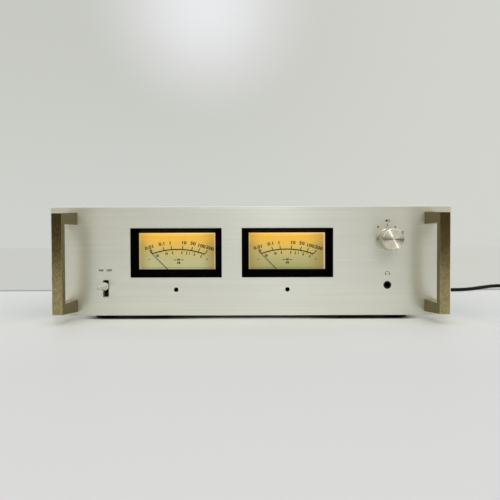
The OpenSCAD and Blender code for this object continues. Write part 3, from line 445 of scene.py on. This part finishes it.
def draw_words(sheet, words, height, place, turn=0.0, spread=1.0, bold=0.0, wide=1.0):
    """Words with capitals of the given height, centred on a place in metres."""
    curve = bpy.data.curves.new("words", "FONT")
    curve.body = words
    curve.size = height / CAPITAL_SHARE
    curve.align_x = "CENTER"
    curve.align_y = "CENTER"
    curve.space_character = spread
    curve.offset = bold
    curve.resolution_u = 3
    holder = added("words", curve)
    bpy.context.view_layer.update()
    mesh = bpy.data.meshes.new_from_object(holder.evaluated_get(bpy.context.evaluated_depsgraph_get()))
    mesh.transform(facing_front(place, turn) @ Matrix.Diagonal((wide, 1, 1, 1)))
    sheet.from_mesh(mesh)
    bpy.data.objects.remove(holder)
    bpy.data.curves.remove(curve)
    bpy.data.meshes.remove(mesh)


def draw_line(sheet, start, end, width, depth):
    """A straight stroke between two points (across, height) on the front."""
    a, b = spot(start[0], depth, start[1]), spot(end[0], depth, end[1])
    along = b - a
    turn = math.degrees(math.atan2(along.z, along.x))
    made = bmesh.ops.create_grid(sheet, x_segments=1, y_segments=1, size=0.5)["verts"]
    bmesh.ops.scale(sheet, vec=(along.length / MM, width, 1), verts=made)
    bmesh.ops.transform(sheet, matrix=facing_front((a + b) / 2, turn), verts=made)


def draw_arc(sheet, centre, radius, start, end, width, depth, steps=40):
    """A curved stroke about a point on the front; angles in degrees from straight up, to the right."""
    middle = spot(centre[0], depth, centre[1])
    a = math.radians(start)
    outward = Vector((math.sin(a), 0, math.cos(a)))
    edge = [sheet.verts.new(middle + outward * r * MM) for r in (radius - width / 2, radius + width / 2)]
    line = sheet.edges.new(edge)
    bmesh.ops.spin(sheet, geom=[*edge, line], cent=middle, axis=(0, 1, 0),
                   angle=math.radians(end - start), steps=steps, use_merge=False)


def turn_to_front(sheet):
    sheet.normal_update()
    bmesh.ops.reverse_faces(sheet, faces=[face for face in sheet.faces if face.normal.y > 0])


# Dials: points are millimetres from the meter's middle and above the panel's lower edge
SCALE_ARC = {"drop": -13.7, "radius": 93.5, "width": 1.3}

# Number, outer and inner end of its mark, place of the number
MAIN_MARKS = [
    ("0.01", (-35.0, 78.9), (-30.8, 74.4), (-35.0, 82.2)),
    ("0.1", (-18.4, 82.6), (-16.6, 78.5), (-19.5, 86.4)),
    ("1", (-8.2, 84.2), (-7.6, 79.6), (-9.4, 87.6)),
    ("10", (6.4, 84.2), (5.8, 79.7), (7.6, 87.8)),
    ("50", (18.6, 82.7), (16.8, 78.4), (18.9, 86.8)),
    ("100", (27.4, 81.0), (25.1, 76.5), (29.3, 83.9)),
    ("200", (36.9, 78.4), (33.3, 74.0), (39.7, 81.1)),
]
MAIN_MARK_WIDTH = 0.9
MAIN_NUMBER = 3.9
MAIN_NUMBER_TILT = 0.75

# Place across and number, if any, of each mark under the arc
SMALL_MARKS = [
    (-26.0, "20"), (-21.0, None), (-14.6, "10"), (-11.0, None), (-6.6, "5"), (-1.6, None),
    (5.2, "3"), (8.6, None), (11.3, "2"), (14.8, "1"), (18.6, None), (21.2, "0"),
    (24.6, None), (26.2, None), (29.7, "3"), (32.0, None),
]
SMALL_MARK = {"gap": 1.2, "numbered": 1.6, "plain": 1.1, "width": 0.5}
SMALL_NUMBER = {"height": 2.4, "drop": 3.2, "aside": 3.6}

# Start, end and width: first mark's thick end, minus, plus, and the line along the foot
OTHER_STROKES = [
    ((-33.6, 79.8), (-31.4, 77.2), 1.2),
    ((-36.2, 67.5), (-34.0, 67.5), 0.55),
    ((35.1, 67.5), (37.3, 67.5), 0.55),
    ((36.2, 66.4), (36.2, 68.6), 0.55),
    ((-44.0, 57.4), (44.0, 57.4), 0.2),
]

# Units with a dash on each side of the upper one
UNITS_ACROSS = 0.9
UNITS = [("dB", 2.3, 63.2), ("W", 2.5, 66.8)]
UNIT_DASH = {"aside": 4.4, "half": 1.8, "height": 66.8, "width": 0.8}


def arc_angle(across):
    return math.degrees(math.asin(across / SCALE_ARC["radius"]))


def arc_height(across):
    return SCALE_ARC["drop"] + math.sqrt(SCALE_ARC["radius"] ** 2 - across ** 2)


def dial_strokes(lines, x, flat):
    (_, _, first, _), (_, _, last, _) = MAIN_MARKS[0], MAIN_MARKS[-1]
    draw_arc(lines, (x, SCALE_ARC["drop"]), SCALE_ARC["radius"], arc_angle(first[0]), arc_angle(last[0]),
             SCALE_ARC["width"], flat)
    strokes = [(outer, inner, MAIN_MARK_WIDTH) for _, outer, inner, _ in MAIN_MARKS] + OTHER_STROKES
    for side in (-1, 1):
        middle, half, z = UNITS_ACROSS + side * UNIT_DASH["aside"], UNIT_DASH["half"], UNIT_DASH["height"]
        strokes.append(((middle - half, z), (middle + half, z), UNIT_DASH["width"]))
    for start, end, width in strokes:
        draw_line(lines, (x + start[0], start[1]), (x + end[0], end[1]), width, flat)


def small_marks(lines, x, flat):
    for across, number in SMALL_MARKS:
        top = arc_height(across) - SMALL_MARK["gap"]
        tilt = across / SCALE_ARC["radius"]
        long = SMALL_MARK["numbered" if number else "plain"]
        end = (x + across - tilt * long, top - long)
        draw_line(lines, (x + across, top), end, SMALL_MARK["width"], flat)
        if number:
            place = spot(x + across - tilt * SMALL_NUMBER["aside"], flat, top - SMALL_NUMBER["drop"])
            draw_words(lines, number, SMALL_NUMBER["height"], place,
                       turn=-math.degrees(tilt), spread=1.1, bold=0.2)


def print_dial(side, brown, red):
    x = METERS[side]
    flat = DIAL_DEPTH - DIAL_INK_LIFT
    lines = bmesh.new()
    dial_strokes(lines, x, flat)
    small_marks(lines, x, flat)
    for unit, height, z in UNITS:
        draw_words(lines, unit, height, spot(x + UNITS_ACROSS, flat, z), spread=1.3, bold=0.22)
    turn_to_front(lines)
    finished("dial_lines_" + side, lines, brown)
    numbers = bmesh.new()
    for number, _, _, (across, z) in MAIN_MARKS:
        turn = -math.degrees(across / SCALE_ARC["radius"]) * MAIN_NUMBER_TILT
        draw_words(numbers, number, MAIN_NUMBER, spot(x + across, flat, z), turn, bold=0.17, wide=1.22)
    turn_to_front(numbers)
    finished("dial_numbers_" + side, numbers, red)


# Marks on the panel: words, height of a capital, place across and up
PANEL_WORDS = [
    ("ON", 2.2, -180.6, 54.8), ("OFF", 2.2, -170.8, 54.8),
    ("0", 2.3, 153.2, 106.3), ("1", 2.3, 164.3, 108.6), ("2", 2.3, 173.9, 106.2), ("3", 2.3, 183.0, 100.2),
]
SPEAKER_SIGN = (164.3, 113.9)
PHONES_SIGN = (164.6, 50.6)


def print_panel(black):
    flat = -PANEL_INK_LIFT
    sheet = bmesh.new()
    for words, height, x, z in PANEL_WORDS:
        draw_words(sheet, words, height, spot(x, flat, z), spread=1.2 if words.isalpha() else 1.1, bold=0.2)
    speaker_mark(sheet, *SPEAKER_SIGN, flat)
    phones_mark(sheet, *PHONES_SIGN, flat)
    turn_to_front(sheet)
    finished("panel_marks", sheet, black)


def speaker_mark(sheet, x, z, flat):
    """A plain loudspeaker sign: magnet, cone and two waves."""
    outline = [(-2.6, -0.7), (-1.4, -0.7), (0.2, -1.9), (0.2, 1.9), (-1.4, 0.7), (-2.6, 0.7)]
    sheet.faces.new([sheet.verts.new(spot(x + a, flat, z + b)) for a, b in outline])
    for radius in (2.0, 3.2):
        draw_arc(sheet, (x - 0.4, z), radius, 55, 125, 0.4, flat, 10)


def phones_mark(sheet, x, z, flat):
    """A plain headphone sign: band and two ear pads."""
    draw_arc(sheet, (x, z), 2.3, -90, 90, 0.45, flat, 20)
    for side in (-1, 1):
        draw_line(sheet, (x + side * 2.1, z + 0.2), (x + side * 2.1, z - 2.0), 1.1, flat)


# Mains lead, in millimetres
ROUTE = [
    (160, 206, 30), (160, 214, 30), (161, 223, 29), (166, 232, 26.5), (175, 238, 22.5),
    (187, 240, 18), (201, 237, 13.5), (215, 229, 9.5), (230, 219, 6.5), (247, 209, 4.3),
    (265, 199, 3.2), (285, 187, 3), (305, 174, 3), (325, 163, 3), (345, 156.5, 3),
    (364, 155, 3), (382, 157.5, 3), (398, 163, 3), (413, 172.5, 3), (427, 183.5, 3),
    (441, 195.5, 3), (456, 207.5, 3), (471, 219.5, 3), (486, 228, 3), (501, 231.5, 3),
    (516, 231.3, 3), (531, 230, 3.3), (545, 228.9, 3.6), (558, 228.5, 3.8), (569, 228.5, 3.8),
]
COIL = {
    "centre": (575, 186), "radius": 42.5, "pitch": 6.5, "low": 3.8,
    "turns": 6.25, "turn_back": 3.25, "tail": 40,
}
COIL_STEPS = 36
LEAD_D = 6.0


def coil_point(t):
    """A point after t turns: inwards on the lower layer, a climb over half a turn, outwards on the upper."""
    radius = COIL["radius"] - COIL["pitch"] * (COIL["turn_back"] - abs(t - COIL["turn_back"]))
    angle = math.radians(90 - 360 * t)
    climb = max(0.0, min(1.0, (t - COIL["turn_back"] + 0.25) * 2))
    x, y = COIL["centre"]
    return Vector((x + radius * math.cos(angle), y + radius * math.sin(angle),
                   COIL["low"] + COIL["pitch"] * climb))


def lead_points():
    """The route smoothed between its points, then the coil and the straight run to the plug."""
    route = [Vector(p) for p in ROUTE]
    line = [2 * route[0] - route[1], *route, 2 * route[-1] - route[-2]]
    points = []
    for a, b, c, d in zip(line, line[1:], line[2:], line[3:]):
        for t in (0, 0.25, 0.5, 0.75):
            points.append(0.5 * (2 * b + (c - a) * t + (2 * a - 5 * b + 4 * c - d) * t * t
                                 + (3 * b - a - 3 * c + d) * t ** 3))
    points.append(route[-1])
    points += [coil_point(i / COIL_STEPS) for i in range(int(COIL_STEPS * COIL["turns"]) + 1)]
    end = points[-1]
    points += [end + Vector((0, -COIL["tail"] * part, 0)) for part in (0.15, 0.5, 1)]
    return [p * MM for p in points]


def lay_lead(material):
    points = lead_points()
    curve = bpy.data.curves.new("mains_lead", "CURVE")
    curve.dimensions = "3D"
    line = curve.splines.new("POLY")
    line.points.add(len(points) - 1)
    for knot, point in zip(line.points, points):
        knot.co = (*point, 1)
    curve.bevel_depth = LEAD_D / 2 * MM
    curve.bevel_resolution = 5
    curve.use_fill_caps = True
    curve.materials.append(material)
    lead = added("mains_lead", curve)
    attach(lead, BODY)
    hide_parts("power_cord", "cord_coil")
    length = sum((b - a).length for a, b in zip(points, points[1:]))


# Surroundings
WALL_GLOW = (-0.085, 0.888, 0.453)
CEILING_LIGHT = {"place": (0.12, -1.3, 0.95), "aim": (0, 0, 0.08), "size": (0.14, 0.12), "power": 1.2}
FLOOR_HALF = (4, 3.6, 1)
FLOOR_MIDDLE = (0, 2.4, 0)


def studio_world():
    """A pale wall to look at and to mirror; towards the front the room is dim below and bright above."""
    world = bpy.data.worlds.new("studio")
    bpy.context.scene.world = world
    w = Tree(world, "ShaderNodeOutputWorld")
    way = w.node("ShaderNodeTexCoord", out="Generated")
    x, y, z = w.axes(way)
    wall = w.mix(w.smooth(z, 0.0, 0.4), (0.625, 0.64, 0.605), (0.575, 0.585, 0.545))
    wall = w.mix(w.smooth(x, -0.2, 0.5), wall, (0.65, 0.655, 0.61))
    glow = w.smooth(w.vector("DISTANCE", {0: way, 1: WALL_GLOW}, out="Value"), 0.24, 0.0)
    wall = w.mix(glow, wall, (0.82, 0.825, 0.84))
    steep = 0.7 + 1.4 * w.smooth(x, 0.35, 0.8)
    front = w.node("ShaderNodeValToRGB", {"stops": [
        (0.0, (0.26, 0.25, 0.21)), (0.28, (0.22, 0.21, 0.175)), (0.32, (0.08, 0.075, 0.055)),
        (0.4, (0.1, 0.097, 0.075)), (0.52, (0.94, 0.94, 0.91)), (0.7, (0.98, 0.98, 0.98)),
    ]}, {"Fac": z * steep + 0.3})
    aside = w.smooth(x * x, 0.03, 0.11) * w.smooth(x * x, 0.4, 0.22)
    brown = w.mix(w.smooth(z, 0.65, 0.4), (0.94, 0.92, 0.83), (0.62, 0.51, 0.31))
    tint = w.mix(aside, (1, 1, 1), brown)
    front = w.vector("MULTIPLY", {0: front, 1: tint})
    over = w.mix(w.smooth(z, 0.3, 0.9), wall, (1.0, 1.0, 1.0))
    room = w.mix(w.smooth(y, 0.0, 0.5), front, over)
    seen = w.node("ShaderNodeLightPath", out="Is Camera Ray")
    w.show(w.node("ShaderNodeBackground", None, {"Color": w.mix(seen, room, wall), "Strength": 1.0}))


def soft_lamp(name, place, aim, size, power):
    data = bpy.data.lights.new(name, "AREA")
    data.shape = "RECTANGLE"
    data.size, data.size_y = size
    data.energy = power
    lamp = added(name, data)
    lamp.location = place
    lamp.rotation_euler = (Vector(aim) - Vector(place)).to_track_quat("-Z", "Y").to_euler()


def pale_paper():
    """Paper with a fold behind the amplifier; painted light makes it lighter just in front of the panel,
    painted shade darkens it in the gap under the amplifier and along the fold.
    """
    f = Finish("pale_floor")
    x, y, _ = f.axes(f.place)
    aside = x * x
    grain = f.even_noise(3)
    near = f.mix(f.smooth(y, -0.16, -0.4), (0.828, 0.848, 0.853), (0.748, 0.752, 0.772))
    far = f.mix(f.smooth(x, -0.5, 0.5), (0.66, 0.675, 0.66), (0.70, 0.71, 0.675))
    # Painted light: the paper is lighter just in front of the panel, to cancel the shade there.
    painted_light_front = f.smooth(y, -0.23, -0.15) * f.smooth(aside, 0.08, 0.05)
    tone = f.mix(f.smooth(y, 0.17, 0.21), f.mix(painted_light_front, near, (0.96, 0.97, 0.96)), far)
    # Painted shade: the paper under the amplifier is nearly black, deepest towards the ends where the feet
    # stand.
    painted_shade_span = f.smooth(y, -0.1465, -0.1435) * f.smooth(y, 0.16, 0.14)
    painted_shade_under = painted_shade_span * f.smooth(aside, 0.0, 0.012) * f.smooth(aside, 0.042, 0.03)
    tone = f.mix(painted_shade_under * 0.9, tone, (0.03, 0.03, 0.03))
    # Painted shade: a dark line along the fold.
    painted_fold_shade = f.smooth(y, 0.168, 0.182) * f.smooth(y, 0.206, 0.192) * f.smooth(aside, 0.03, 0.05)
    return f.surface({
        "Base Color": f.mix(painted_fold_shade * 0.8, f.mix(grain * 0.1, tone, (0.78, 0.78, 0.77)), (0.3, 0.3, 0.29)),
        "Roughness": 0.5,
        "Specular IOR Level": 0.1,
    })


def pale_floor():
    sheet = bmesh.new()
    bmesh.ops.create_grid(sheet, x_segments=1, y_segments=1, size=1)
    bmesh.ops.scale(sheet, vec=FLOOR_HALF, verts=sheet.verts)
    bmesh.ops.translate(sheet, vec=FLOOR_MIDDLE, verts=sheet.verts)
    mesh = bpy.data.meshes.new("floor")
    sheet.to_mesh(mesh)
    sheet.free()
    mesh.materials.append(pale_paper())
    floor = added("floor", mesh)


# Putting it together
place_camera()
rubber = soft_rubber()
lay_lead(rubber)

black_plastic = moulded_black("black_plastic")
# Painted shade: a near-zero black, darker than the black plastic, for the meter bezels and zero adjusters.
painted_shade_black = moulded_black("painted_shade_black", (0.0003, 0.0003, 0.0004), 0.02)
zinc = plated("zinc_plate", (0.55, 0.55, 0.53), 0.32)
chrome = plated("chrome_plate", (0.78, 0.78, 0.76), 0.1, 0.06)
brass = plated("nickel_brass", (0.62, 0.5, 0.28), 0.25)
phenolic = mottled("phenolic_board", (0.22, 0.13, 0.05), (0.34, 0.22, 0.1), 0.4)

dress(brushed_aluminium(), "front_panel")
dress(bronze_anodised(), "handle_left", "handle_right")
dress(turned_aluminium(), "selector_knob")
dress(painted_shade_black, "meter_bezel_left", "meter_bezel_right", "zero_adjuster_left", "zero_adjuster_right")
dress(window_acrylic(), "meter_window_left", "meter_window_right")
# The two dials get different painted glow: the right one darker low down and shaded from nearer its middle.
dress(lit_dial("left", (0.43, 0.42, 0.23), (0.42, 0.395, 0.19), 0.35), "meter_dial_left")
dress(lit_dial("right", (0.32, 0.305, 0.13), (0.38, 0.35, 0.155), 0.25), "meter_dial_right")
dress(ink("pointer_brown", (0.035, 0.018, 0.008)), "meter_pointer_left", "meter_pointer_right")
dress(black_plastic, "meter_case_left", "meter_case_right", "power_switch", "phones_socket",
      "speaker_terminals", "cord_tie")
dress(plated("magnet_steel", (0.35, 0.35, 0.34), 0.35), "meter_movement_left", "meter_movement_right")
dress(plated("satin_plate", (0.70, 0.705, 0.62), 0.26), "power_lever")
dress(chrome, "selector_nut", "input_jacks")
dress(zinc, "handle_screws", "front_subpanel", "panel_screws", "selector_shaft", "chassis_base",
      "side_frame_left", "side_frame_right", "rear_panel", "foot_screws", "output_transistors",
      "transformer_brackets", "transformer_bolts", "capacitor_clamps")
dress(textured_paint(), "top_cover")
dress(plated("black_screws", (0.05, 0.05, 0.05), 0.4), "case_screws")
dress(rubber, "feet", "cord_gland", "mains_plug")
dress(brass, "board_standoffs", "terminal_screws", "plug_blades")
dress(plated("black_anodised", (0.04, 0.042, 0.046), 0.45), "heat_sink_left", "heat_sink_right")
dress(phenolic, "driver_board_left", "driver_board_right", "supply_board", "selector_switch")
dress(laminations(), "transformer_core")
dress(wound_wrap(), "transformer_winding")
dress(mottled("blue_sleeve", (0.02, 0.05, 0.16), (0.03, 0.075, 0.22), 0.3), "filter_capacitors")
dress(mottled("cream_case", (0.6, 0.56, 0.45), (0.7, 0.66, 0.55), 0.4), "speaker_relay")
dress(mottled("lamp_glass", (0.8, 0.75, 0.6), (0.95, 0.9, 0.75), 0.15), "dial_lamps")

scale_brown = ink("scale_brown", (0.03, 0.016, 0.007))
number_red = ink("number_red", (0.07, 0.014, 0.007))
for side in METERS:
    print_dial(side, scale_brown, number_red)
print_panel(ink("panel_black", (0.02, 0.02, 0.018)))

studio_world()
pale_floor()
soft_lamp("ceiling_light", **CEILING_LIGHT)
bpy.context.scene.view_settings.view_transform = "Standard"
